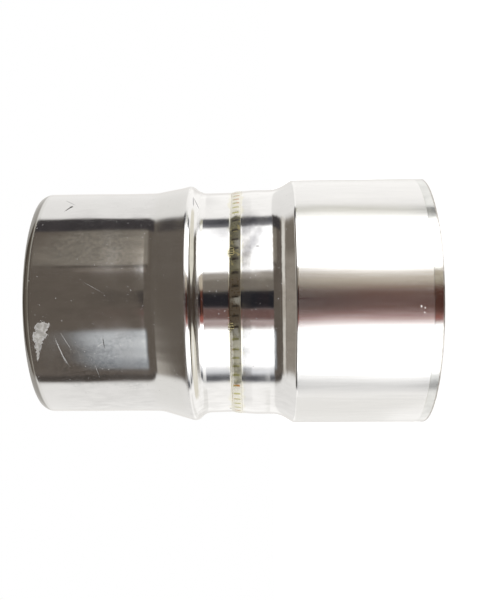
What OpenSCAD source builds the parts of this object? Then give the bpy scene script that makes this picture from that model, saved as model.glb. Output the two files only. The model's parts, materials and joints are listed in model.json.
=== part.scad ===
// Single-wall flue pipe reducer in stainless sheet, from a 110 mm socket to a 100 mm spigot.
// Two formed shells meet edge to edge, and one weld runs round the seam between them.
// The fitting stands on its socket: the origin is the middle of that rim, and +Z is the flue's axis.

/* [Sheet] */
// Thickness of the sheet in both shells
wall = 0.6; // [0.4:0.1:1.5]

/* [Socket] */
// Inside diameter of the socket, which takes the end of the wider pipe
socket_bore_d = 110; // [80:1:160]
// Straight depth of the socket, from its rim to the shoulder
socket_depth = 58.6; // [20:0.1:120]
// Height of the bare lip below the brushed band
lip_h = 4; // [2:0.5:12]
// How much the lip is turned down on the outside
lip_relief = 0.15; // [0.05:0.05:0.3]

/* [Shoulder and neck] */
// Slope of the shoulder away from the axis
shoulder_angle = 31.5; // [15:0.5:50]
// Bend radius where the shoulder meets the socket, on the outside
shoulder_edge_r = 2; // [1.8:0.1:4]
// Bend radius where the shoulder runs into the neck, on the outside
shoulder_root_r = 14.5; // [3:0.5:20]
// Length of the neck, from the shoulder to the weld
neck_h = 15.8; // [12:0.1:60]
// How far the neck is drawn in at the weld, on the radius
neck_draw = 0.45; // [0.1:0.05:1.5]
// Length over which it is drawn in
draw_h = 5; // [3:0.1:8]
// Bend radius where the draw starts
draw_start_r = 30; // [10:1:60]
// Bend radius where the draw ends beside the weld
draw_end_r = 8; // [4:0.5:10]

/* [Girth weld] */
// Width of the weld along the axis
weld_w = 4.2; // [2:0.1:8]
// Height of the weld's crown above the sheet
weld_crown = 0.2; // [0.1:0.05:0.8]
// Step up across the weld, from the tail to the neck, on the radius
weld_step = 0.6; // [0.1:0.05:1.5]
// How far the weld's root shows inside
weld_root = 0.15; // [0.05:0.05:0.4]
// Spacing of the ripples round the weld
ripple_pitch = 4.6; // [3:0.1:10]
// Share of the crown that each ripple drops by
ripple_drop = 0.45; // [0.1:0.05:0.6]
// How far the middle of a ripple runs ahead of its ends, in ripples
ripple_bow = 0.8; // [0.2:0.1:1.5]
// Straight land on the neck beside the weld
weld_land = 0.5; // [0.4:0.1:1]

/* [Spigot] */
// Outside diameter of the spigot, which slides into the narrower pipe
spigot_d = 100; // [60:1:120]
// Plain length of the spigot, from its rim to the stop bead
spigot_depth = 51.7; // [20:0.1:120]
// Length of the drawn-in lead at the rim
lead_h = 3.4; // [2:0.1:10]
// How far the lead is drawn in, on the radius
lead_drop = 1.2; // [0.3:0.05:2]

/* [Stop bead] */
// Length of the plain tube between the weld and the bead
tail_h = 13.2; // [5:0.1:60]
// How far the tail stands proud of the spigot, on the radius
tail_swell = 0.45; // [0.1:0.05:1]
// Height of the bead's crest above the spigot
bead_rise = 3.75; // [1.75:0.05:8]
// Slope of the long ramp on the spigot's side
ramp_angle = 14.5; // [8:0.5:35]
// Slope of the short back on the neck's side
back_angle = 44; // [20:1:60]
// Bend radius over the crest, on the outside
crest_r = 3.5; // [2:0.5:8]
// Bend radius at the foot of the back
back_foot_r = 7; // [2:0.5:12]
// Bend radius at the foot of the ramp
ramp_foot_r = 18; // [2:0.5:30]

/* [Hidden] */

// Faces in a full turn, in the preview
$fn = 180;
// Straight steps in each bend of the sheet
bend_steps = 8;
// Steps round the weld for each ripple, and strips across its crown
ripple_steps = 5;
crown_strips = 4;
// Length by which a cutter runs past what it cuts
spill = 1;

// Radii of the outside of the sheet
socket_r = socket_bore_d / 2 + wall;
spigot_r = spigot_d / 2;
tail_r = spigot_r + tail_swell;
neck_end_r = tail_r + weld_step;
neck_r = neck_end_r + neck_draw;

// Heights along the axis, from the socket's rim upwards
// The shoulder slopes in to the neck, or out to it where the socket is the narrower end
shoulder_root_z = socket_depth + abs(socket_r - neck_r) / tan(shoulder_angle);
weld_bottom_z = shoulder_root_z + neck_h;
weld_top_z = weld_bottom_z + weld_w;
back_foot_z = weld_top_z + tail_h;
// The bead's two slopes meet in a corner above the crest that rounds it
bead_corner_rise = bead_rise
    + crest_r * (cos((back_angle - ramp_angle) / 2) / cos((back_angle + ramp_angle) / 2) - 1);
bead_corner_z = back_foot_z + (bead_corner_rise - tail_swell) / tan(back_angle);
ramp_foot_z = bead_corner_z + bead_corner_rise / tan(ramp_angle);
rim_z = ramp_foot_z + spigot_depth;

// The lead is one arc that leaves the spigot smoothly and ends at the rim
lead_r = (lead_h ^ 2 + lead_drop ^ 2) / (2 * lead_drop);
lead_corner_z = rim_z - lead_h + lead_r * lead_drop / lead_h;

// Unit vector from one [radius, height] point to the next
function heading(from, to) = (to - from) / norm(to - from);

// Normal on the outside of a sheet that runs along a heading
function outward(way) = [way[1], -way[0]];

// A heading turned by an angle, towards the axis where it is positive
function turned(way, angle) = [
    way[0] * cos(angle) - way[1] * sin(angle),
    way[0] * sin(angle) + way[1] * cos(angle)
];

// Angle from one heading to the next, positive towards the axis
function turn(way_in, way_out) = atan2(cross(way_in, way_out), way_in * way_out);

// Points round one bend, each with its normal
function bend(corner, way_in, way_out, radius) =
    let (
        angle = turn(way_in, way_out),
        side = sign(angle),
        centre = corner - radius * (tan(abs(angle) / 2) * way_in + side * outward(way_in))
    )
    [for (i = [0 : bend_steps])
        let (normal = outward(turned(way_in, angle * i / bend_steps)))
        [centre + side * radius * normal, normal]];

// Outside of a formed sheet along corners [[radius, height], bend radius], as points with normals
// A bend is tighter only where the straight beside it is too short for the bends at its two ends
function formed_line(corners) =
    let (
        last = len(corners) - 1,
        ways = [for (i = [0 : last - 1]) heading(corners[i][0], corners[i + 1][0])],
        uses = [for (i = [0 : last])
            i == 0 || i == last ? 0 : corners[i][1] * tan(abs(turn(ways[i - 1], ways[i])) / 2)],
        shares = [for (i = [0 : last - 1])
            min(1, norm(corners[i + 1][0] - corners[i][0]) / (uses[i] + uses[i + 1]))]
    )
    [
        [corners[0][0], outward(ways[0])],
        for (i = [1 : last - 1])
            each bend(corners[i][0], ways[i - 1], ways[i], corners[i][1] * min(shares[i - 1], shares[i])),
        [corners[last][0], outward(ways[last - 1])]
    ];

// Sheet of one thickness, formed along the corners and closed round the axis
module formed_shell(corners) {
    line = formed_line(corners);
    outside = [for (p = line) p[0]];
    inside = [for (i = [len(line) - 1 : -1 : 0]) line[i][0] - wall * line[i][1]];
    rotate_extrude() polygon(concat(outside, inside));
}

// Shallow turned band that leaves the lip a little smaller than the brushed socket
module lip_band() {
    rotate_extrude()
        translate([socket_r - lip_relief, -spill])
            square([lip_relief + spill, spill + lip_h]);
}

// Socket, shoulder and neck in one sheet, from the mouth up to the weld
module socket_shell() {
    color("gainsboro")
        difference() {
            formed_shell([
                [[socket_r, 0], 0],
                [[socket_r, socket_depth], shoulder_edge_r],
                [[neck_r, shoulder_root_z], shoulder_root_r],
                [[neck_r, weld_bottom_z - weld_land - draw_h], draw_start_r],
                [[neck_end_r, weld_bottom_z - weld_land], draw_end_r],
                [[neck_end_r, weld_bottom_z], 0]
            ]);
            lip_band();
        }
}

// Tail, stop bead and plain spigot in one sheet, from the weld up to the rim
module spigot_shell() {
    color("silver")
        formed_shell([
            [[tail_r, weld_top_z], 0],
            [[tail_r, back_foot_z], back_foot_r],
            [[spigot_r + bead_corner_rise, bead_corner_z], crest_r],
            [[spigot_r, ramp_foot_z], ramp_foot_r],
            [[spigot_r, lead_corner_z], lead_r],
            [[spigot_r - lead_drop, rim_z], 0]
        ]);
}

// Radius of the sheet that the weld joins, at a place across it from -1 at the neck to 1 at the tail
function joined_r(across) = (neck_end_r * (1 - across) + tail_r * (1 + across)) / 2;

// Radius of the weld's face at a place across it and a number of ripples round it
function crown_r(across, ripples) =
    let (
        phase = ripples + ripple_bow * across ^ 2,
        fall = phase - floor(phase)
    )
    joined_r(across) + weld_crown * (1 - across ^ 2) * (1 - ripple_drop * fall);

// Weld bead through the sheet: a rippled crown outside and a low smooth root inside
module girth_weld() {
    ripples = round(PI * spigot_d / ripple_pitch);
    turns = ripples * ripple_steps;
    middle_z = (weld_bottom_z + weld_top_z) / 2;
    sections = [for (i = [0 : turns - 1]) concat(
        [for (j = [0 : crown_strips])
            let (across = 2 * j / crown_strips - 1)
            [crown_r(across, i / ripple_steps), middle_z + across * weld_w / 2]],
        [
            [tail_r - wall, weld_top_z],
            [joined_r(0) - wall - weld_root, middle_z],
            [neck_end_r - wall, weld_bottom_z]
        ]
    )];
    corners = len(sections[0]);
    points = [for (i = [0 : turns - 1], p = sections[i])
        [p[0] * cos(360 * i / turns), p[0] * sin(360 * i / turns), p[1]]];
    faces = [for (i = [0 : turns - 1], j = [0 : corners - 1])
        let (
            here = i * corners,
            next = (i + 1) % turns * corners,
            k = (j + 1) % corners
        )
        each [
            [here + j, here + k, next + j],
            [here + k, next + k, next + j]
        ]];
    color("darkkhaki") polyhedron(points, faces);
}

socket_shell();
girth_weld();
spigot_shell();
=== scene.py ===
"""Looks of a single-wall stainless steel flue reducer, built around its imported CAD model.

The two formed shells and their weld are turned again from the CAD's own sections, fine enough
for polished reflections. Here they get their weld ripples, cut edges, finishes and marks.
"""

import json
import math

import bpy
import numpy as np
from mathutils import Matrix, Vector


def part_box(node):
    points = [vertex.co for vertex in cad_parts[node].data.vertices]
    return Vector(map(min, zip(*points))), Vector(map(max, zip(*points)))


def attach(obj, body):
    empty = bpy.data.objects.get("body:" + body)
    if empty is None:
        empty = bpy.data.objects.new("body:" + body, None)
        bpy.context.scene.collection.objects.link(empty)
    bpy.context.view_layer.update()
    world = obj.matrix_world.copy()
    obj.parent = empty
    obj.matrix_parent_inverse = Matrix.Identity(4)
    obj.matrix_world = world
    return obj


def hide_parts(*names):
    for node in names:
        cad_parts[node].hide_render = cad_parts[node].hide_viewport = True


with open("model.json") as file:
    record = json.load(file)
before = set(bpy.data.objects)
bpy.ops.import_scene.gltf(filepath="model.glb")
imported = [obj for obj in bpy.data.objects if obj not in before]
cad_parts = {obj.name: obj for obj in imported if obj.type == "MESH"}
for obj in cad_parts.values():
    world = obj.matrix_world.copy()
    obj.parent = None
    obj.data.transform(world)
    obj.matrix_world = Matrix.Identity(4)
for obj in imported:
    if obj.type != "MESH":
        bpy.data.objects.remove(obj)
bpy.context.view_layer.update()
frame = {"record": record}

MM = 0.001

# Driving dimensions in millimetres, read from the frame
mounts = {mount["name"]: mount for mount in frame["record"]["mounts"]}
socket_bore_r = mounts["socket_bore"]["dims"]["r_mm"]
spigot_r = mounts["spigot_outside"]["dims"]["r_mm"]
weld_bottom_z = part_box("girth_weld")[0].z / MM
weld_top_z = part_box("girth_weld")[1].z / MM
rim_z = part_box("spigot_shell")[1].z / MM

# Sheet, socket and neck, in millimetres and degrees
wall = 0.6
socket_r = socket_bore_r + wall
socket_depth = 58.6
lip_h = 4.0
lip_relief = 0.15
shoulder_angle = 31.5
shoulder_edge_r = 2.0
shoulder_root_r = 14.5
neck_draw = 0.45
draw_h = 5.0
draw_start_r = 30.0
draw_end_r = 8.0
weld_land = 0.5
weld_step = 0.6
tail_swell = 0.45
tail_r = spigot_r + tail_swell
weld_foot_r = tail_r + weld_step
neck_r = weld_foot_r + neck_draw
shoulder_root_z = socket_depth + (socket_r - neck_r) / math.tan(math.radians(shoulder_angle))

# Stop bead and spigot
tail_h = 13.2
bead_rise = 3.75
ramp_angle = 14.5
back_angle = 44.0
crest_r = 3.5
back_foot_r = 7.0
ramp_foot_r = 18.0
spigot_depth = 51.7
lead_h = 3.4
lead_drop = 1.2
lead_r = (lead_h ** 2 + lead_drop ** 2) / (2 * lead_drop)
lead_corner_z = rim_z - lead_h + lead_r * lead_drop / lead_h
half_turn = math.radians(back_angle - ramp_angle) / 2
half_sum = math.radians(back_angle + ramp_angle) / 2
corner_rise = bead_rise + crest_r * (math.cos(half_turn) / math.cos(half_sum) - 1)
back_foot_z = weld_top_z + tail_h
bead_corner_z = back_foot_z + (corner_rise - tail_swell) / math.tan(math.radians(back_angle))
ramp_foot_z = rim_z - spigot_depth

# Girth weld
weld_w = weld_top_z - weld_bottom_z
weld_middle_z = (weld_bottom_z + weld_top_z) / 2
weld_crown = 0.2
weld_root = 0.15
ripple_pitch = 4.6
ripple_drop = 0.45
ripple_bow = 0.08
toe_spread = 0.2
toe_sink = 0.04
# How unevenly the ripples follow each other: waves round, share of a ripple, phase
PACE_WAVES = (
    (5, 0.22, 1.0),
    (13, 0.16, 0.0),
)
# Step from ripple to ripple, in radians, whose multiples never meet
RIPPLE_TURN = 2.399

# Fineness of the turned meshes: places round the axis, steps in a bend and gap between rings
TURNS = 360
OUTER_STEPS = 20
INNER_STEPS = 6
RING_GAP = 3.0
RIPPLE_STEPS = 12
CROWN_STRIPS = 12
ROOT_STRIPS = 6
# Rounding of the sheet's cut edges, with its steps
EDGE_R = 0.12
EDGE_STEPS = 3

# Slight waves that forming leaves in thin sheet: waves round, length along, height, phase
WAVES = (
    (5, 150.0, 0.040, 0.6),
    (9, -95.0, 0.022, 2.1),
    (14, 70.0, 0.012, 4.0),
    (23, -48.0, 0.005, 1.3),
)
# Shifts of the rings towards +X, where the shells don't sit quite true: start, end, shift
SIDE_SHIFTS = (
    (socket_depth + 3, shoulder_root_z + 6, -0.2),
    (weld_bottom_z, back_foot_z, -0.3),
    (back_foot_z, bead_corner_z, -0.15),
    (bead_corner_z + 2, ramp_foot_z + 1, 0.65),
)
# Lean of the stop bead towards +X, in millimetres for each millimetre of radius
BEAD_LEAN = 0.0155
LEAN_START = (weld_top_z + 1, back_foot_z - 1)
LEAN_END = (ramp_foot_z + 2, ramp_foot_z + 16)
# Slight swells that the sizing of the spigot leaves: middle, half length, rise
SPIGOT_SWELLS = (
    (rim_z - 21, 13.0, 0.12),
    (ramp_foot_z, 9.0, 0.18),
)
# Fine rings that the bead's forming roller leaves: pitch and depth
ROLLER_PITCH = 1.1
ROLLER_DEPTH = 0.007


def heading(start, end):
    """Direction from one (radius, height) point to the next."""
    return (end - start).normalized()


def outward(way):
    """Normal on the outside of a sheet that runs along a heading."""
    return Vector((way.y, -way.x))


def bend(corner, way_in, way_out, radius, steps):
    """Points round one bend of the sheet, each with its normal."""
    angle = math.atan2(way_in.x * way_out.y - way_in.y * way_out.x, way_in.dot(way_out))
    side = math.copysign(1, angle)
    centre = corner - radius * (math.tan(abs(angle) / 2) * way_in + side * outward(way_in))
    points = []
    for step in range(steps + 1):
        normal = outward(Matrix.Rotation(angle * step / steps, 2) @ way_in)
        points.append((centre + side * radius * normal, normal))
    return points


def filled(points):
    """The same line with rings along its straights, closest together near their ends."""
    line = points[:1]
    for (start, start_normal), (end, end_normal) in zip(points, points[1:]):
        count = math.ceil((end - start).length / RING_GAP)
        if count > 1:
            count += 2
        for i in range(1, count):
            share = (1 - math.cos(math.pi * i / count)) / 2
            line.append((start.lerp(end, share), start_normal.lerp(end_normal, share)))
        line.append((end, end_normal))
    return line


def formed_line(corners, steps):
    """Points with normals on the outside of a sheet formed along corners (radius, height, bend)."""
    places = [Vector(corner[:2]) for corner in corners]
    ways = [heading(start, end) for start, end in zip(places, places[1:])]
    points = [(places[0], outward(ways[0]))]
    for i in range(1, len(places) - 1):
        points += bend(places[i], ways[i - 1], ways[i], corners[i][2], steps)
    points.append((places[-1], outward(ways[-1])))
    return filled(points)


def cut_edge(outer, inner, way):
    """Lightly rounded cut edge from the outside of the sheet to its inside, facing a way."""
    across = heading(outer, inner)
    outer_centre = outer + EDGE_R * (across - way)
    inner_centre = inner - EDGE_R * (across + way)
    turns = [math.pi / 2 * step / EDGE_STEPS for step in range(EDGE_STEPS + 1)]
    return [outer_centre + EDGE_R * (math.sin(t) * way - math.cos(t) * across) for t in turns] + [
        inner_centre + EDGE_R * (math.cos(t) * way + math.sin(t) * across) for t in turns]


def shell_section(outer_corners, inner_corners, start_is_rim):
    """Closed section of a shell as points with their side: out, edge or in. One end is a cut rim."""
    outside = [point for point, _ in formed_line(outer_corners, OUTER_STEPS)]
    inside = [point - wall * normal for point, normal in formed_line(inner_corners, INNER_STEPS)]
    if start_is_rim:
        edge = cut_edge(outside[0], inside[0], heading(outside[1], outside[0]))
        outside, inside = outside[1:], inside[1:]
        return ([(p, "edge") for p in edge[::-1]] + [(p, "out") for p in outside]
                + [(p, "in") for p in inside[::-1]])
    edge = cut_edge(outside[-1], inside[-1], heading(outside[-2], outside[-1]))
    return ([(p, "out") for p in outside[:-1]] + [(p, "edge") for p in edge]
            + [(p, "in") for p in inside[-2::-1]])


def eased(value, start, end):
    """Smooth rise from 0 at the start to 1 at the end."""
    share = np.clip((value - start) / (end - start), 0, 1)
    return share * share * (3 - 2 * share)


def waviness(angle, height):
    """How far the sheet stands in from its true radius, in millimetres, as a negative number."""
    return sum(rise * (np.sin(count * angle + 2 * np.pi * height / length + phase) - 1)
               for count, length, rise, phase in WAVES)


def handmade(angle, radius, height):
    """Radius, shift towards +X and height with the small faults of a fitting formed by hand."""
    swell = sum(rise * np.exp(-((height - middle) / half) ** 2) for middle, half, rise in SPIGOT_SWELLS)
    on_bead = eased(height, back_foot_z - 1, back_foot_z + 1)
    on_bead = on_bead * eased(-height, -bead_corner_z - 5, -bead_corner_z - 3)
    ring = ROLLER_DEPTH * np.sin(2 * np.pi * height / ROLLER_PITCH) * on_bead
    shift = sum(by * eased(height, start, end) for start, end, by in SIDE_SHIFTS)
    lean = eased(height, *LEAN_START) * eased(-height, -LEAN_END[1], -LEAN_END[0])
    leaned = height + BEAD_LEAN * radius * np.sin(angle) * lean
    return radius + waviness(angle, height) + swell + ring, shift, leaned


def turned_mesh(name, radius, height, bands):
    """Closed mesh turned round the axis from arrays over [place round it, place in the section]."""
    turns, places = radius.shape
    angle = 2 * np.pi * np.arange(turns)[:, None] / turns
    radius, shift, height = handmade(angle, radius, height)
    points = np.stack([shift + radius * np.sin(angle), -radius * np.cos(angle), height], -1) * MM
    here = np.arange(turns)[:, None] * places + np.arange(places)[None]
    after = np.roll(here, -1, axis=1)
    faces = np.stack([here, np.roll(here, -1, axis=0), np.roll(after, -1, axis=0), after], -1)
    mesh = bpy.data.meshes.new(name)
    mesh.from_pydata(points.reshape(-1, 3).tolist(), [], faces.reshape(-1, 4).tolist())
    mesh.polygons.foreach_set("use_smooth", [True] * len(mesh.polygons))
    mesh.polygons.foreach_set("material_index", np.tile(bands, turns).tolist())
    mesh.update()
    piece = bpy.data.objects.new(name, mesh)
    bpy.context.scene.collection.objects.link(piece)
    return piece


def shell_piece(name, section, band_of, materials):
    """One turned shell, whose bands of finish go by the side and the height of each strip."""
    radius = np.array([[point.x for point, _ in section]] * TURNS)
    height = np.array([[point.y for point, _ in section]] * TURNS)
    following = section[1:] + section[:1]
    bands = [band_of(side, (point.y + after.y) / 2)
             for (point, side), (after, _) in zip(section, following)]
    piece = turned_mesh(name, radius, height, bands)
    for material in materials:
        piece.data.materials.append(material)
    return piece


def linear(code):
    """Linear colour of an sRGB hex value."""
    parts = [int(code[i:i + 2], 16) / 255 for i in (1, 3, 5)]
    return tuple(c / 12.92 if c <= 0.04045 else ((c + 0.055) / 1.055) ** 2.4 for c in parts)


def opaque(code):
    """Linear colour with full alpha, as colour sockets take it."""
    return linear(code) + (1,)


def add(tree, kind, settings=None, inputs=None, output=0):
    """Adds a node with its settings, and values or links for its inputs. Gives one of its outputs."""
    node = tree.nodes.new(kind)
    for name, value in (settings or {}).items():
        setattr(node, name, value)
    for name, value in (inputs or {}).items():
        if isinstance(value, bpy.types.NodeSocket):
            tree.links.new(value, node.inputs[name])
        else:
            node.inputs[name].default_value = value
    return node.outputs[output] if node.outputs else None


def new_material(name):
    """Material with an empty node tree."""
    material = bpy.data.materials.new(name)
    material.use_nodes = True
    material.node_tree.nodes.clear()
    return material, material.node_tree


def calculated(tree, operation, first, second=0.0):
    """One sum on two values or links."""
    return add(tree, "ShaderNodeMath", {"operation": operation}, {0: first, 1: second})


def ramped(tree, value, start, end, low=0.0, high=1.0):
    """Smooth change from low to high as a value goes from the start to the end."""
    return add(tree, "ShaderNodeMapRange", {"interpolation_type": "SMOOTHSTEP"},
               {0: value, 1: start, 2: end, 3: low, 4: high})


def within(tree, value, low, high, soft):
    """1 where a value lies between two others, with edges that fade over a soft width."""
    off = calculated(tree, "SUBTRACT", value, (low + high) / 2)
    half = (high - low) / 2
    return ramped(tree, calculated(tree, "ABSOLUTE", off), half + soft / 2, half - soft / 2)


def unrolled(tree):
    """Place on the sheet as if it were unrolled: arc from the front, height and nothing, in mm."""
    place = add(tree, "ShaderNodeSeparateXYZ", inputs={0: add(tree, "ShaderNodeTexCoord", output="Object")})
    x, y, z = place.node.outputs
    angle = calculated(tree, "ARCTAN2", x, calculated(tree, "MULTIPLY", y, -1.0))
    arc = calculated(tree, "MULTIPLY", angle, spigot_r)
    height = calculated(tree, "MULTIPLY", z, 1 / MM)
    return add(tree, "ShaderNodeCombineXYZ", inputs={0: arc, 1: height})


def parts_of(tree, place):
    """Arc and height of an unrolled place."""
    return add(tree, "ShaderNodeSeparateXYZ", inputs={0: place}).node.outputs[:2]


def grain(tree, size, stretch=(1, 1, 1), detail=2.0, low=0.0, high=1.0, start=0.3, end=0.7):
    """Noise whose grains have a size in millimetres, stretched along X, Y and Z, from low to high."""
    place = add(tree, "ShaderNodeTexCoord", output="Object")
    scaled = add(tree, "ShaderNodeVectorMath", {"operation": "DIVIDE"},
                 {0: place, 1: [size * MM * share for share in stretch]})
    noise = add(tree, "ShaderNodeTexNoise", inputs={"Vector": scaled, "Scale": 1.0, "Detail": detail})
    return ramped(tree, noise, start, end, low, high)


def mark(tree, place, arc, height, length, width, tilt, ragged=0.25, soft=0.4):
    """Mask of one mark on the sheet: an ellipse of a real size in millimetres with a ragged edge."""
    own = add(tree, "ShaderNodeMapping", {"vector_type": "TEXTURE"},
              {"Vector": place, "Location": (arc, height, 0), "Rotation": (0, 0, math.radians(tilt)),
               "Scale": (length / 2, width / 2, 1)})
    away = add(tree, "ShaderNodeVectorMath", {"operation": "LENGTH"}, {0: own}, output="Value")
    torn = grain(tree, max(width / 3, 0.4), detail=3, low=-ragged, high=ragged)
    reach = calculated(tree, "ADD", away, torn)
    return ramped(tree, reach, 1 + soft / 2, 1 - soft / 2)


def hairlines(tree, place, tilt, spacing, length, share):
    """Mask of fine broken scratches at one tilt: their spacing and length in mm, and how many show."""
    own = add(tree, "ShaderNodeMapping", {"vector_type": "TEXTURE"},
              {"Vector": place, "Rotation": (0, 0, math.radians(tilt)), "Scale": (length, spacing, 1)})
    noise = add(tree, "ShaderNodeTexNoise", inputs={"Vector": own, "Scale": 1.0, "Detail": 1.0})
    return ramped(tree, noise, 0.74 - share, 0.80 - share)


def strongest(tree, masks):
    """The highest of several masks."""
    top = masks[0]
    for mask in masks[1:]:
        top = calculated(tree, "MAXIMUM", top, mask)
    return top


def marked(tree, place, marks, **how):
    """Mask of several marks."""
    return strongest(tree, [mark(tree, place, *values, **how) for values in marks])


def blended(tree, share, first, second):
    """Colour that goes from the first to the second by a share."""
    return add(tree, "ShaderNodeMix", {"data_type": "RGBA"}, {0: share, 6: first, 7: second}, output=2)


def mixed(tree, share, first, second):
    """Value that goes from the first to the second by a share."""
    return add(tree, "ShaderNodeMix", {"data_type": "FLOAT"}, {0: share, 2: first, 3: second})


def bumped(tree, height, strength, depth):
    """Normal of a relief whose depth is in millimetres."""
    return add(tree, "ShaderNodeBump",
               inputs={"Height": height, "Strength": strength, "Distance": depth * MM})


def finished(tree, **inputs):
    """Surface of the material. Underscores in the names of its inputs stand for spaces."""
    named = {name.replace("_", " "): value for name, value in inputs.items()}
    shader = add(tree, "ShaderNodeBsdfPrincipled", inputs=named)
    add(tree, "ShaderNodeOutputMaterial", inputs={"Surface": shader})


STEEL = opaque("#dcdbda")
HAZED_STEEL = opaque("#d0cfce")
DRAWN_STEEL = opaque("#d5d4d2")
# Much darker steel at the lead's rim: painted shade
LEAD_SHADE_STEEL = opaque("#8f8c87")
SCUFFED_STEEL = opaque("#85827d")
DUSTY_STEEL = opaque("#6a6763")
DARK_SCORE = opaque("#3f3b38")
STRAW_TINT = opaque("#d3cc9c")

# Half the width of the seam's line in millimetres
SEAM_HALF_W = 0.65

# Marks on the sheet: arc from the front, height, length, width and tilt, in mm and degrees
SCUFFS = (
    (-12.4, 162.8, 8.6, 5.0, -12),
    (-9.4, 161.8, 3.2, 5.4, 14),
    (-17.4, 164.2, 6.4, 2.4, -8),
    (-21.6, 164.6, 5.6, 1.0, -10),
)
SCRATCHES = (
    (-20.4, 155.1, 10.6, 0.4, 17),
    (-15.8, 152.6, 7.6, 0.15, 28),
    (-23.5, 153.9, 7.0, 0.2, 21),
    (6.4, 141.1, 7.4, 0.1, 61),
    (-17.5, 138.6, 3.0, 0.25, -60),
    (-30.0, 141.0, 6.0, 0.16, 10),
)
DARK_SCORES = (
    (47.4, 155.1, 4.8, 0.6, -32),
    (48.8, 154.2, 1.6, 1.1, -32),
    (-16.6, 137.2, 4.4, 0.3, 6),
    (-59.7, 86.3, 1.3, 0.8, 40),
    (22.9, 73.9, 0.4, 1.5, 0),
)
# Lines drawn only as darker grey in the colour, with no relief: painted shade where the sheet is creased
CREASE_SHADE_LINES = (
    (53.0, 155.4, 6.4, 0.35, 45),
    (49.2, 101.4, 7.0, 0.5, 3.5),
    (49.3, 100.2, 7.2, 0.45, 20),
)
# Grey clouds beside the weld on the neck and the tail: painted shade that darkens the reflections there
GREY_SHADE_PATCHES = (
    (34.0, 77.6, 11.0, 7.0, -15),
    (26.0, 75.6, 17.0, 4.5, -25),
    (31.5, 88.6, 10.0, 12.0, 0),
)
FILM = (
    (-26.0, 140.0, 22.0, 36.0, 0),
    (24.0, 139.0, 20.0, 38.0, 4),
)
SOCKET_SPECKS = (
    (-2.0, 9.4, 0.7, 0.6, 0),
    (-2.6, 7.9, 0.5, 0.5, 0),
    (-4.2, 8.1, 0.4, 0.4, 0),
)
# A near-white stroke at the lip's edge: a painted highlight
LIP_PAINTED_HIGHLIGHT = (
    (-8.2, 4.4, 7.4, 0.5, 0),
)


def seam_mask(tree, arc):
    """Mask of the thin line along the back where the rolled sheet was joined and flattened."""
    from_back = calculated(tree, "SUBTRACT", math.pi * spigot_r, calculated(tree, "ABSOLUTE", arc))
    wavy = calculated(tree, "ADD", from_back, grain(tree, 6, low=-0.15, high=0.15))
    return ramped(tree, wavy, SEAM_HALF_W + 0.25, SEAM_HALF_W - 0.25)


def from_weld(tree, height):
    """Distance from the weld's middle along the axis."""
    return calculated(tree, "ABSOLUTE", calculated(tree, "SUBTRACT", height, weld_middle_z))


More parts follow.
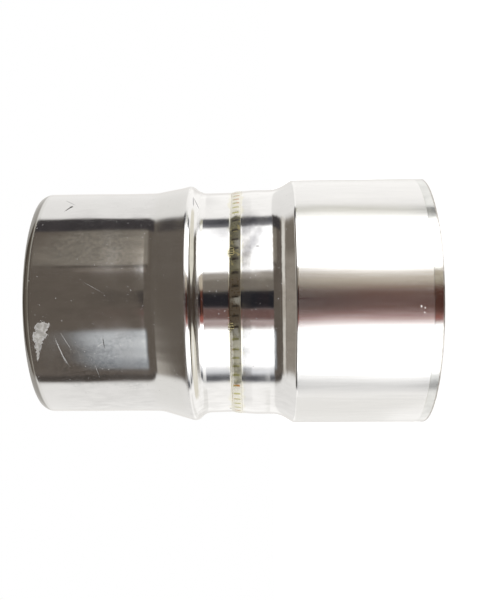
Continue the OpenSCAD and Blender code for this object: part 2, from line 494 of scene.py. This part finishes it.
def polished_stainless():
    """Bright polished stainless sheet: a mirror with haze, wiped film, dust and handling marks, and painted
    grey shade beside the weld and along creases.
    """
    material, tree = new_material("polished_stainless")
    place = unrolled(tree)
    arc, height = parts_of(tree, place)
    scuff = marked(tree, place, SCUFFS, ragged=0.3, soft=0.4)
    scratch = calculated(tree, "MULTIPLY", marked(tree, place, SCRATCHES, soft=1.0), 0.4)
    score = marked(tree, place, DARK_SCORES)
    crease_shade = calculated(tree, "MULTIPLY", marked(tree, place, CREASE_SHADE_LINES), 0.7)
    grey_shade = calculated(tree, "MULTIPLY", marked(tree, place, GREY_SHADE_PATCHES, ragged=0.12, soft=1.9),
                       grain(tree, 9, low=0.4, high=0.8, detail=3))
    film = marked(tree, place, FILM, ragged=0.5, soft=0.9)

    # Dust specks of about 0.3 mm lie in patches, up to four to a square centimetre
    cell = add(tree, "ShaderNodeVectorMath", {"operation": "SCALE"},
               {0: add(tree, "ShaderNodeTexCoord", output="Object"), "Scale": 1 / (2.3 * MM)})
    near = add(tree, "ShaderNodeTexVoronoi", inputs={"Vector": cell, "Scale": 1.0})
    speck = calculated(tree, "MULTIPLY", ramped(tree, near, 0.1, 0.055), grain(tree, 20, high=0.85))

    # Hairlines of polishing and wiping are about 0.02 mm wide, drawn here 0.25 mm wide so that they show
    hair = strongest(tree, [
        hairlines(tree, place, -78, 0.25, 14.0, 0.07),
        hairlines(tree, place, 82, 0.22, 9.0, 0.06),
        hairlines(tree, place, -20, 0.25, 7.0, 0.05)])
    worn = calculated(tree, "MULTIPLY", hair, mixed(tree, film, 0.1, 0.5))

    drawn = strongest(tree, [
        within(tree, height, rim_z - lead_h - 0.6, rim_z + 9, 1.0),
        within(tree, height, bead_corner_z + 2.0, ramp_foot_z, 6.0)])
    # Painted shade: the last millimetres of the lead at the rim are much darker in the colour
    lead = ramped(tree, height, rim_z - 3.2, rim_z - 2.2)
    uneven = calculated(tree, "ADD", from_weld(tree, height), grain(tree, 4, low=-0.7, high=0.7))
    tint = ramped(tree, uneven, 3.8, 2.0, 0.0, 0.3)
    seam = seam_mask(tree, arc)

    cloudy = calculated(tree, "MULTIPLY", grain(tree, 35), grain(tree, 3, stretch=(1, 1, 2.5), detail=5))
    colour = blended(tree, cloudy, STEEL, HAZED_STEEL)
    colour = blended(tree, calculated(tree, "MULTIPLY", film, grain(tree, 1.3, detail=4, high=0.4)),
                     colour, opaque("#a9abad"))
    colour = blended(tree, drawn, colour, DRAWN_STEEL)
    colour = blended(tree, lead, colour, LEAD_SHADE_STEEL)
    colour = blended(tree, tint, colour, STRAW_TINT)
    # Painted shade: the grey clouds and the creased lines are darkened in the colour
    colour = blended(tree, strongest(tree, [grey_shade, crease_shade]), colour, opaque("#77767a"))
    torn = grain(tree, 1.4, detail=3, low=0.75, start=0.35, end=0.55)
    scuffed = calculated(tree, "MULTIPLY", scuff, torn)
    dust = blended(tree, grain(tree, 2.5, detail=3), SCUFFED_STEEL, DUSTY_STEEL)
    colour = blended(tree, strongest(tree, [scuffed, scratch, speck, worn]), colour, dust)
    colour = blended(tree, score, colour, DARK_SCORE)
    dull = strongest(tree, [scuffed, scratch, speck])
    clear = grain(tree, 20, stretch=(1, 1, 0.6), detail=4, low=0.07, high=0.13)
    # The forming roller leaves two duller rings, at the bead's foot and beside its crest
    ring = strongest(tree, [
        within(tree, height, back_foot_z - 0.4, back_foot_z + 0.9, 0.8),
        within(tree, height, bead_corner_z + 0.7, bead_corner_z + 1.6, 0.8)])
    satin = mixed(tree, ring, mixed(tree, drawn, clear, 0.12), 0.25)
    rough = mixed(tree, strongest(tree, [dull, calculated(tree, "MULTIPLY", seam, 0.4)]), satin, 0.55)
    relief = calculated(tree, "SUBTRACT", grain(tree, 1.1, detail=3),
                        calculated(tree, "MULTIPLY", score, 8.0))
    finished(tree, Base_Color=colour, Metallic=calculated(tree, "SUBTRACT", 1.0, dull), Roughness=rough,
             Normal=bumped(tree, relief, 0.05, 0.02))
    return material


def brushed_stainless():
    """Stainless sheet brushed along the axis: it smears reflections round the socket, not along it."""
    material, tree = new_material("brushed_stainless")
    place = unrolled(tree)
    arc = parts_of(tree, place)[0]
    # Brush lines are about 0.05 mm apart, drawn here 0.4 mm apart so that they show
    lines = grain(tree, 0.4, stretch=(1, 1, 60), detail=4)
    seam = seam_mask(tree, arc)
    speck = marked(tree, place, SOCKET_SPECKS)
    colour = blended(tree, lines, STEEL, opaque("#d6d5d4"))
    colour = blended(tree, seam, colour, opaque("#b9b6b0"))
    satin = grain(tree, 0.6, stretch=(1, 1, 40), detail=3, low=0.19, high=0.225)
    rough = mixed(tree, seam, satin, 0.32)
    round_axis = add(tree, "ShaderNodeTangent", {"direction_type": "RADIAL", "axis": "Z"})
    finished(tree, Base_Color=blended(tree, speck, colour, opaque("#d9d5d1")),
             Metallic=calculated(tree, "SUBTRACT", 1.0, speck), Roughness=rough,
             Anisotropic=0.4, Tangent=round_axis, Normal=bumped(tree, lines, 0.03, 0.02))
    return material


def turned_stainless():
    """Lip turned down in a lathe: fine rings give it a satin that blurs reflections along the axis."""
    material, tree = new_material("turned_stainless")
    place = unrolled(tree)
    # Turning marks are about 0.1 mm apart, drawn here 0.35 mm apart so that they show
    rings = grain(tree, 0.35, stretch=(80, 80, 1), detail=2)
    # Painted highlight: a near-white, mostly unmetallic stroke at the lip's edge
    lip_highlight = marked(tree, place, LIP_PAINTED_HIGHLIGHT)
    colour = blended(tree, grain(tree, 9, detail=3), opaque("#d4d4d2"), opaque("#c3c3c1"))
    colour = blended(tree, lip_highlight, colour, opaque("#fbfaf8"))
    metal = calculated(tree, "SUBTRACT", 1.0, calculated(tree, "MULTIPLY", lip_highlight, 0.8))
    finished(tree, Base_Color=colour, Metallic=metal, Roughness=grain(tree, 2, low=0.12, high=0.18),
             Normal=bumped(tree, rings, 0.05, 0.02))
    return material


def mill_stainless():
    """Stainless sheet as the mill rolled it: a grey satin inside, with straw heat tint beside the weld."""
    material, tree = new_material("mill_stainless")
    arc, height = parts_of(tree, unrolled(tree))
    uneven = calculated(tree, "ADD", from_weld(tree, height), grain(tree, 9, low=-1, high=1))
    tint = ramped(tree, uneven, 9.0, 2.5)
    colour = blended(tree, grain(tree, 12, detail=4), opaque("#d2cfcb"), opaque("#c6c3bf"))
    colour = blended(tree, strongest(tree, [tint, calculated(tree, "MULTIPLY", seam_mask(tree, arc), 0.6)]),
                     colour, opaque("#c2a870"))
    finished(tree, Base_Color=colour, Metallic=1.0, Roughness=grain(tree, 3, detail=4, low=0.3, high=0.4),
             Normal=bumped(tree, grain(tree, 1.5, detail=3), 0.05, 0.02))
    return material


def sheared_stainless(name, pale, dark):
    """Stainless left as it was sheared or drawn to wire: a broken satin, duller than the sheet's faces."""
    material, tree = new_material(name)
    colour = blended(tree, grain(tree, 1.5), opaque(pale), opaque(dark))
    finished(tree, Base_Color=colour, Metallic=1.0, Roughness=grain(tree, 1.0, low=0.25, high=0.4))
    return material


# Arc from the front, in millimetres, of the middle of the dark scale in the weld's painted sheen
SHEEN_MIDDLE = 1.75
# Places where less scale lies on the weld: arc from the front, height, length, width and tilt
CLEANER_SCALE = (
    (-17.5, 82.0, 6.0, 4.0, 0),
    (-12.0, 83.0, 4.0, 2.0, 20),
    (-23.0, 82.0, 4.0, 5.0, 0),
    (0.6, 82.0, 3.0, 5.0, 0),
    (24.0, 81.5, 5.0, 3.0, 30),
)


def weld_metal():
    """Stainless weld left as welded: dull olive scale over two quarters of the round and pale straw metal
    at the sides, laid out as a painted sheen.
    """
    material, tree = new_material("weld_metal")
    place = unrolled(tree)
    arc, height = parts_of(tree, place)
    # Painted sheen: olive scale over two quarters of the round, at the front and at the back, and pale
    # metal at the sides
    from_sheen_middle = calculated(tree, "SUBTRACT", arc, SHEEN_MIDDLE)
    turn = calculated(tree, "COSINE", calculated(tree, "MULTIPLY", from_sheen_middle, 2 / spigot_r))
    scale_and_sheen = ramped(tree, calculated(tree, "ADD", turn, grain(tree, 6, low=-0.08, high=0.08)), -0.04, 0.12)
    # Low on the front the scale stops short of the tail
    clean_edge = calculated(tree, "MULTIPLY", within(tree, arc, -40, -13, 5),
                            ramped(tree, height, weld_top_z - 1.3, weld_top_z - 0.6, 0.0, 0.8))
    scale_and_sheen = calculated(tree, "MULTIPLY", scale_and_sheen, calculated(tree, "SUBTRACT", 1.0, clean_edge))
    # A stripe at the back of each ripple, in the low ground before the next ripple's step, is painted shade
    # over the weld's oxide tints: olive or brown on the pale metal, near black in the scale
    fall = add(tree, "ShaderNodeAttribute", {"attribute_name": "ripple_fall"}, output="Fac")
    middle = within(tree, height, weld_bottom_z + 0.7, weld_top_z - 0.7, 0.8)
    ripple_bar_shade = calculated(tree, "MULTIPLY", within(tree, fall, 0.7, 0.9, 0.14), middle)
    burnt = grain(tree, 7, detail=1, start=0.52, end=0.6)
    pale = blended(tree, ripple_bar_shade, opaque("#dedbd0"), blended(tree, burnt, opaque("#b3af72"), opaque("#b57c42")))
    scale = blended(tree, grain(tree, 3.4, detail=3), opaque("#514d39"), opaque("#3f3b2c"))
    scale = blended(tree, grain(tree, 2.2, detail=2, start=0.56, end=0.66), scale, opaque("#6d643f"))
    scale = blended(tree, within(tree, arc, -10, 11, 6), scale, opaque("#3d3325"))
    cleaner = marked(tree, place, CLEANER_SCALE, ragged=0.3, soft=1.2)
    scale = blended(tree, cleaner, scale, opaque("#66635a"))
    # The scale is thinner low on the front
    bare = calculated(tree, "MULTIPLY", within(tree, arc, -38, -15, 9),
                      grain(tree, 2.6, low=0.3, high=0.85))
    scale = blended(tree, bare, scale, opaque("#868373"))
    dark = blended(tree, ripple_bar_shade, scale, blended(tree, bare, opaque("#1f1709"), opaque("#75723f")))
    metal = calculated(tree, "SUBTRACT", 1.0, calculated(tree, "MULTIPLY", scale_and_sheen, 0.93))
    finished(tree, Base_Color=blended(tree, scale_and_sheen, pale, dark), Metallic=metal,
             Roughness=grain(tree, 0.8, detail=3, low=0.26, high=0.4),
             Normal=bumped(tree, grain(tree, 0.5, detail=4), 0.4, 0.03))
    return material


def weld_bead(material):
    """The girth weld: ripples of uneven length and height over a low crown, and a low root inside."""
    ripples = round(2 * math.pi * spigot_r / ripple_pitch)
    turns = ripples * RIPPLE_STEPS
    angle = 2 * np.pi * np.arange(turns)[:, None] / turns
    across = np.linspace(-1, 1, CROWN_STRIPS + 1)[None]
    along = ripples * angle / (2 * np.pi)
    along = along + sum(share * np.sin(count * angle + start) for count, share, start in PACE_WAVES)
    phase = along + ripple_bow * across ** 2 + 0.04 * across
    fall = phase - np.floor(phase)
    uneven = 1 + 0.18 * np.sin(RIPPLE_TURN * np.floor(phase)) + 0.1 * np.sin(7 * angle)
    rise = weld_crown * uneven * (1 - across ** 2) * (1 - ripple_drop * fall) - toe_sink * across ** 8
    half = weld_w / 2 + toe_spread * (1 + np.sin(9 * angle + np.sin(4 * angle))) / 2
    crown_z = weld_middle_z + across * half
    share = np.clip((crown_z - weld_bottom_z) / weld_w, 0, 1)
    crown_r = weld_foot_r + (tail_r - weld_foot_r) * share + rise
    root = np.linspace(1, -1, ROOT_STRIPS + 1)[None] + 0 * angle
    root_z = weld_middle_z + root * weld_w / 2
    root_r = weld_foot_r + (tail_r - weld_foot_r) * (1 + root) / 2 - wall - weld_root * (1 - root ** 2)
    radius = np.hstack([crown_r, root_r])
    height = np.hstack([crown_z, root_z])
    piece = turned_mesh("girth_weld_bead", radius, height, [0] * radius.shape[1])
    piece.data.materials.append(material)
    shade = piece.data.attributes.new("ripple_fall", "FLOAT", "POINT")
    shade.data.foreach_set("value", np.hstack([fall, 0 * root]).ravel())
    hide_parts("girth_weld")
    return piece


# Loose curls of weld wire that lie over the weld's edge: arc from the front, turns and size
CURLS = (
    (19.3, 3.1, 1.3),
    (-10.6, 1.6, 1.25),
)
CURL_WIRE_R = 0.12
CURL_STEPS = 10
# Advance of one turn and width of a loop, as shares of the size
CURL_PITCH = 0.8
CURL_WIDTH = 0.7
# How far a curl's middle lies in over the weld, and how high above the tail
CURL_REACH = 0.4
CURL_LIFT = 0.5


def weld_curl(name, arc, turns, size, material):
    """Thin curl of wire that lies over the weld's edge, with loops that run on round the fitting."""
    curve = bpy.data.curves.new(name, "CURVE")
    curve.dimensions = "3D"
    curve.bevel_depth = CURL_WIRE_R * MM
    curve.bevel_resolution = 2
    steps = round(turns * CURL_STEPS)
    line = curve.splines.new("NURBS")
    line.points.add(steps)
    line.use_endpoint_u = True
    for i, point in enumerate(line.points):
        turn = 2 * math.pi * i / CURL_STEPS
        along = arc + size * (CURL_PITCH * i / CURL_STEPS - CURL_WIDTH * math.cos(turn))
        angle = along / spigot_r
        level = weld_top_z - CURL_REACH + size * math.sin(turn)
        off = tail_r + CURL_LIFT + CURL_WIRE_R * (1.5 + math.cos(turn))
        radius, shift, height = handmade(angle, off, level)
        point.co = ((shift + radius * math.sin(angle)) * MM, -radius * math.cos(angle) * MM, height * MM, 1)
    curve.materials.append(material)
    curl = bpy.data.objects.new(name, curve)
    bpy.context.scene.collection.objects.link(curl)
    return curl


def socket_piece(polished, brushed, mill, sheared, turned):
    """Socket, shoulder and neck, brushed between the lip and the shoulder and polished elsewhere."""
    formed = [
        (socket_r, socket_depth, shoulder_edge_r),
        (neck_r, shoulder_root_z, shoulder_root_r),
        (neck_r, weld_bottom_z - weld_land - draw_h, draw_start_r),
        (weld_foot_r, weld_bottom_z - weld_land, draw_end_r),
        (weld_foot_r, weld_bottom_z, 0),
    ]
    lip = [
        (socket_r - lip_relief, 0, 0),
        (socket_r - lip_relief, lip_h - lip_relief / 2, lip_relief / 4),
        (socket_r, lip_h + lip_relief / 2, lip_relief / 4),
    ]
    section = shell_section(lip + formed, [(socket_r, 0, 0)] + formed, start_is_rim=True)

    def band_of(side, height):
        if side == "out" and height < lip_h:
            return 4
        if side == "out":
            return 1 if height < socket_depth - shoulder_edge_r / 2 else 0
        return 3 if side == "edge" else 2

    piece = shell_piece("socket_sheet", section, band_of, (polished, brushed, mill, sheared, turned))
    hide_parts("socket_shell")
    return piece


def spigot_piece(polished, mill, sheared):
    """Tail, stop bead, plain spigot and its drawn-in lead."""
    formed = [
        (tail_r, weld_top_z, 0),
        (tail_r, back_foot_z, back_foot_r),
        (spigot_r + corner_rise, bead_corner_z, crest_r),
        (spigot_r, ramp_foot_z, ramp_foot_r),
        (spigot_r, lead_corner_z, lead_r),
        (spigot_r - lead_drop, rim_z, 0),
    ]
    section = shell_section(formed, formed, start_is_rim=False)

    def band_of(side, height):
        return {"out": 0, "in": 1, "edge": 2}[side]

    piece = shell_piece("spigot_sheet", section, band_of, (polished, mill, sheared))
    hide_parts("spigot_shell")
    return piece


# Light tent that the steel reflects: a drum round the fitting, in millimetres
TENT_R = 800
TENT_TOP = 4000
TENT_BOTTOM = -4000
TENT_MIDDLE = 82
TENT_SIDES = 96
# Share of the light that the steel sends back, so that panels are given as they show in it
STEEL_SHARE = 0.66
# How far the edges of the panels wander, in degrees
WANDER = 0.6

# Panels of the tent as they show in the steel: colour, brightness, azimuths from the front
# towards +X and heights above the fitting's middle in degrees, and softness of the edges along both.
# Each lies over those before it. A height of 400 is past the roof.
PANELS = (
    # Even light above the middle, and soft strips at the back
    ("#d8d7d5", 1.0, (-180, 180), (9, 400), (1, 5)),
    ("#dddcd9", 1.0, (-180, -95), (-26, -3.2), (3, 1)),
    ("#cfcdca", 1.0, (148, 180), (-90, 90), (12, 1)),
    ("#cfcdca", 1.0, (-180, -148), (-90, 90), (12, 1)),
    ("#6f6d6a", 1.0, (171, 189), (-90, 90), (3, 1)),
    ("#6f6d6a", 1.0, (-189, -171), (-90, 90), (3, 1)),
    # Dark and warm walls in the spigot and the bead's ramp
    ("#58514a", 1.0, (-84.5, 93.5), (9.8, 31), (3, 1.6)),
    ("#554e47", 1.0, (-81, 93), (30, 90), (9, 4)),
    ("#767067", 1.0, (36, 79), (9, 22), (7, 6)),
    ("#989084", 1.0, (37, 66), (9, 13.2), (16, 3.6)),
    ("#6f675f", 1.0, (29.5, 35), (9.5, 17), (3, 4)),
    ("#423c37", 1.0, (34.6, 37.4), (11.5, 21), (1.6, 5)),
    ("#84888c", 1.0, (-70, -28), (9.4, 17), (6, 6)),
    ("#b4b7b9", 1.0, (-57, -28.5), (9.8, 14.4), (8, 5.4)),
    ("#5a534d", 1.0, (-86, -70), (10, 31), (9, 3)),
    ("#383536", 1.0, (76.5, 93.5), (10, 33), (5, 3)),
    ("#46413d", 1.0, (-84.5, -77), (10, 33), (3, 3)),
    # Higher bands in the shoulder and the bead's back
    ("#a59f96", 1.0, (-81, 95), (38, 49), (8, 3.4)),
    ("#cbc8c1", 1.0, (22, 95), (37.7, 47), (16, 4)),
    ("#c3bfb8", 1.0, (-81, -20), (38.6, 47), (16, 3)),
    ("#857e75", 1.0, (-88, 98), (50, 66), (8, 5)),
    ("#6b645b", 1.0, (60, 98), (51, 66), (18, 5)),
    ("#665f57", 1.0, (-81, 96), (66, 90), (8, 5)),
    # Two windows with dark frames in the neck and the tail, and what stands between them
    ("#ffffff", 1.2, (29.5, 79), (-5, 10.6), (2.5, 1.0)),
    ("#ffffff", 1.2, (-66, -25), (-5, 10.8), (5, 1.0)),
    ("#ffffff", 2.4, (29.5, 79), (-38, -3), (2.5, 1)),
    ("#ffffff", 1.7, (-66, -25), (-38, -3), (5, 1)),
    ("#cdcfd3", 1.0, (-80, -66), (-36, 10.2), (18, 1.6)),
    ("#6f6f73", 1.0, (79, 92), (-36, 9.6), (6, 1.6)),
    ("#515155", 1.0, (84, 92), (-36, 9.6), (3, 1.6)),
    ("#505155", 1.0, (-84.5, -74), (-36, 10.2), (7, 1.6)),
    ("#6d675f", 1.0, (9, 27.5), (-40, 10.8), (3, 1.6)),
    ("#8f8981", 1.0, (22, 29.5), (-40, 10.8), (4, 1.6)),
    ("#66504c", 1.0, (-17, -4), (-40, 11.0), (4, 1.2)),
    ("#9d8d8a", 1.0, (-24, -16), (-40, 11.2), (6, 1.2)),
    ("#202024", 1.0, (-5, 10.4), (-40, 11.2), (2.5, 1.0)),
    # The same windows and the warm strip between them in the brushed socket
    ("#f6f5f0", 1.0, (74, 86), (-22, -3.2), (3, 1)),
    ("#f3f3f2", 1.0, (-80, -58), (-22, -3.2), (3, 1)),
    ("#a9a798", 1.0, (85.5, 92), (-22, -3.2), (3, 1)),
    ("#c9c9c8", 1.0, (-84, -75), (-22, -3.2), (6, 1)),
    ("#ffffff", 1.7, (-66, -20), (-26, -3.2), (4, 1)),
    ("#a99f8e", 1.0, (12, 28), (-26, -3.2), (4, 1)),
    ("#603a2f", 1.0, (-14, 14), (-26, -3.2), (4, 1)),
    ("#4e2e25", 1.0, (-9, 9), (-26, -3.2), (4, 1)),
    ("#382724", 1.0, (-10, 13), (-9, -3.2), (6, 5)),
    ("#90544b", 1.0, (-19, -13), (-26, -3.2), (4, 1)),
    ("#1c1c1d", 1.0, (-12, 15), (-26, -18.8), (8, 0.8)),
    # Low floor and walls in the bead's crest
    ("#5f5a51", 1.0, (-88, 88), (-65, -41), (14, 6)),
    ("#d0ccbf", 1.0, (-180, 180), (-90, -63), (4, 5)),
    ("#433b34", 1.0, (-57, 57), (-90, -63), (10, 4)),
    ("#3a322c", 1.0, (-26, 26), (-90, -33), (10, 6)),
)


def panel(tree, azimuth, height, under, colour, brightness, azimuths, heights, softness):
    """Lays one panel of the tent over what is under it."""
    share = calculated(tree, "MULTIPLY", within(tree, azimuth, *azimuths, softness[0]),
                       within(tree, height, *heights, softness[1]))
    light = [part * brightness / STEEL_SHARE for part in linear(colour)] + [1]
    return blended(tree, share, under, light)


def tent_light():
    """Material of the light tent. Its bands lie lower at the sides, as straight edges of a room look."""
    material, tree = new_material("tent_light")
    place = add(tree, "ShaderNodeSeparateXYZ", inputs={0: add(tree, "ShaderNodeTexCoord", output="Object")})
    x, y, z = place.node.outputs
    angle = calculated(tree, "ARCTAN2", x, calculated(tree, "MULTIPLY", y, -1.0))
    azimuth = calculated(tree, "ADD", calculated(tree, "DEGREES", angle),
                         grain(tree, 90, low=-WANDER, high=WANDER))
    away = calculated(tree, "SQRT", calculated(
        tree, "ADD", calculated(tree, "MULTIPLY", x, x), calculated(tree, "MULTIPLY", y, y)))
    above = calculated(tree, "SUBTRACT", z, TENT_MIDDLE * MM)
    height = calculated(tree, "DEGREES", calculated(tree, "ARCTAN2", above, away))
    sideways = calculated(tree, "COSINE", calculated(tree, "MULTIPLY", angle, 0.5))
    height = calculated(tree, "DIVIDE", height, calculated(tree, "MAXIMUM", sideways, 0.5))
    height = calculated(tree, "ADD", height, grain(tree, 120, low=-WANDER, high=WANDER))
    light = [part / STEEL_SHARE for part in linear("#ecebe9")] + [1]
    for values in PANELS:
        light = panel(tree, azimuth, height, light, *values)
    glow = add(tree, "ShaderNodeEmission", inputs={"Color": light})
    add(tree, "ShaderNodeOutputMaterial", inputs={"Surface": glow})
    material.cycles.emission_sampling = "NONE"
    return material


def light_tent():
    """Closed drum of soft panels round the fitting, which only the steel's reflections see."""
    angles = [2 * math.pi * i / TENT_SIDES for i in range(TENT_SIDES)]
    points = [(TENT_R * math.sin(angle) * MM, -TENT_R * math.cos(angle) * MM, z * MM)
              for z in (TENT_BOTTOM, TENT_TOP) for angle in angles]
    floor = list(range(TENT_SIDES))
    roof = [TENT_SIDES + i for i in floor]
    walls = [(i, after, TENT_SIDES + after, TENT_SIDES + i)
             for i, after in zip(floor, floor[1:] + floor[:1])]
    mesh = bpy.data.meshes.new("light_tent")
    mesh.from_pydata(points, [], walls + [floor, roof])
    mesh.materials.append(tent_light())
    tent = bpy.data.objects.new("light_tent", mesh)
    bpy.context.scene.collection.objects.link(tent)
    for ray in ("camera", "diffuse", "shadow"):
        setattr(tent, "visible_" + ray, False)


# Distance to the corners of the floor in millimetres
FLOOR_REACH = 5000
# Gap round the disc in the mouth, and its level above the floor
DISC_GAP = 0.5
DISC_LEVEL = 0.02
DISC_SIDES = 64
# Strength of the even light
LIGHT_STRENGTH = 2.3


def pale_floor():
    """Plain white floor. Only the disc under the fitting shows in the steel, the tent does elsewhere."""
    material, tree = new_material("pale_floor")
    paint = add(tree, "ShaderNodeBsdfDiffuse", inputs={"Color": (0.9, 0.9, 0.9, 1)})
    add(tree, "ShaderNodeOutputMaterial", inputs={"Surface": paint})
    for name, reach, corners, level, shown in (
            ("floor_outside", FLOOR_REACH, 4, 0.0, False),
            ("floor_inside", socket_bore_r - DISC_GAP, DISC_SIDES, DISC_LEVEL, True)):
        angles = [2 * math.pi * (i + 0.5) / corners for i in range(corners)]
        ring = [(reach * math.cos(angle) * MM, reach * math.sin(angle) * MM, level * MM)
                for angle in angles]
        mesh = bpy.data.meshes.new(name)
        mesh.from_pydata(ring, [], [tuple(range(corners))])
        mesh.materials.append(material)
        floor = bpy.data.objects.new(name, mesh)
        bpy.context.scene.collection.objects.link(floor)
        floor.visible_glossy = shown


def soft_sky():
    """Even soft light from everywhere, and a white background behind the fitting."""
    world = bpy.data.worlds.new("soft_sky")
    world.use_nodes = True
    tree = world.node_tree
    tree.nodes.clear()
    lamp = add(tree, "ShaderNodeBackground", inputs={"Strength": LIGHT_STRENGTH})
    backdrop = add(tree, "ShaderNodeBackground", inputs={"Color": (1, 1, 1, 1)})
    seen = add(tree, "ShaderNodeLightPath", output="Is Camera Ray")
    sky = add(tree, "ShaderNodeMixShader", inputs={0: seen, 1: lamp, 2: backdrop})
    add(tree, "ShaderNodeOutputWorld", inputs={"Surface": sky})
    bpy.context.scene.world = world


# The camera lies beside the fitting and is rolled, so that the axis runs across the picture
CAMERA_DISTANCE = 385.9
CAMERA_LENS = 49.92
CAMERA_YAW = -1.16
CAMERA_ROLL = 0.43
CAMERA_RISE = 0.742
AIM_HEIGHT = 82.27


def camera():
    """Camera at the photo's viewing angle."""
    lens = bpy.data.cameras.new("camera")
    lens.lens = CAMERA_LENS
    eye = bpy.data.objects.new("camera", lens)
    bpy.context.scene.collection.objects.link(eye)
    lying = Matrix(((0, 0, -1, 0), (1, 0, 0, 0), (0, -1, 0, 0), (0, 0, 0, 1)))
    seen = (Matrix.Translation((0, -CAMERA_RISE * MM, -CAMERA_DISTANCE * MM))
            @ Matrix.Rotation(math.radians(CAMERA_ROLL), 4, "Z")
            @ Matrix.Rotation(math.radians(CAMERA_YAW), 4, "Y")
            @ lying @ Matrix.Translation((0, 0, -AIM_HEIGHT * MM)))
    eye.matrix_world = seen.inverted()
    bpy.context.scene.camera = eye


camera()
soft_sky()
light_tent()
pale_floor()

polished = polished_stainless()
brushed = brushed_stainless()
mill = mill_stainless()
sheared = sheared_stainless("sheared_stainless", "#b7b3ad", "#9f9c97")
worn_edge = sheared_stainless("worn_edge", "#5d5955", "#4a4743")
wire = sheared_stainless("weld_wire", "#d9cf9f", "#a0956a")
turned = turned_stainless()
weld = weld_metal()
pieces = [socket_piece(polished, brushed, mill, sheared, turned), weld_bead(weld),
          spigot_piece(polished, mill, worn_edge)]
pieces += [weld_curl(f"weld_curl_{i + 1}", *values, wire) for i, values in enumerate(CURLS)]
for piece in pieces:
    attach(piece, "root")

scene = bpy.context.scene
scene.view_settings.view_transform = "Standard"
scene.cycles.use_denoising = True
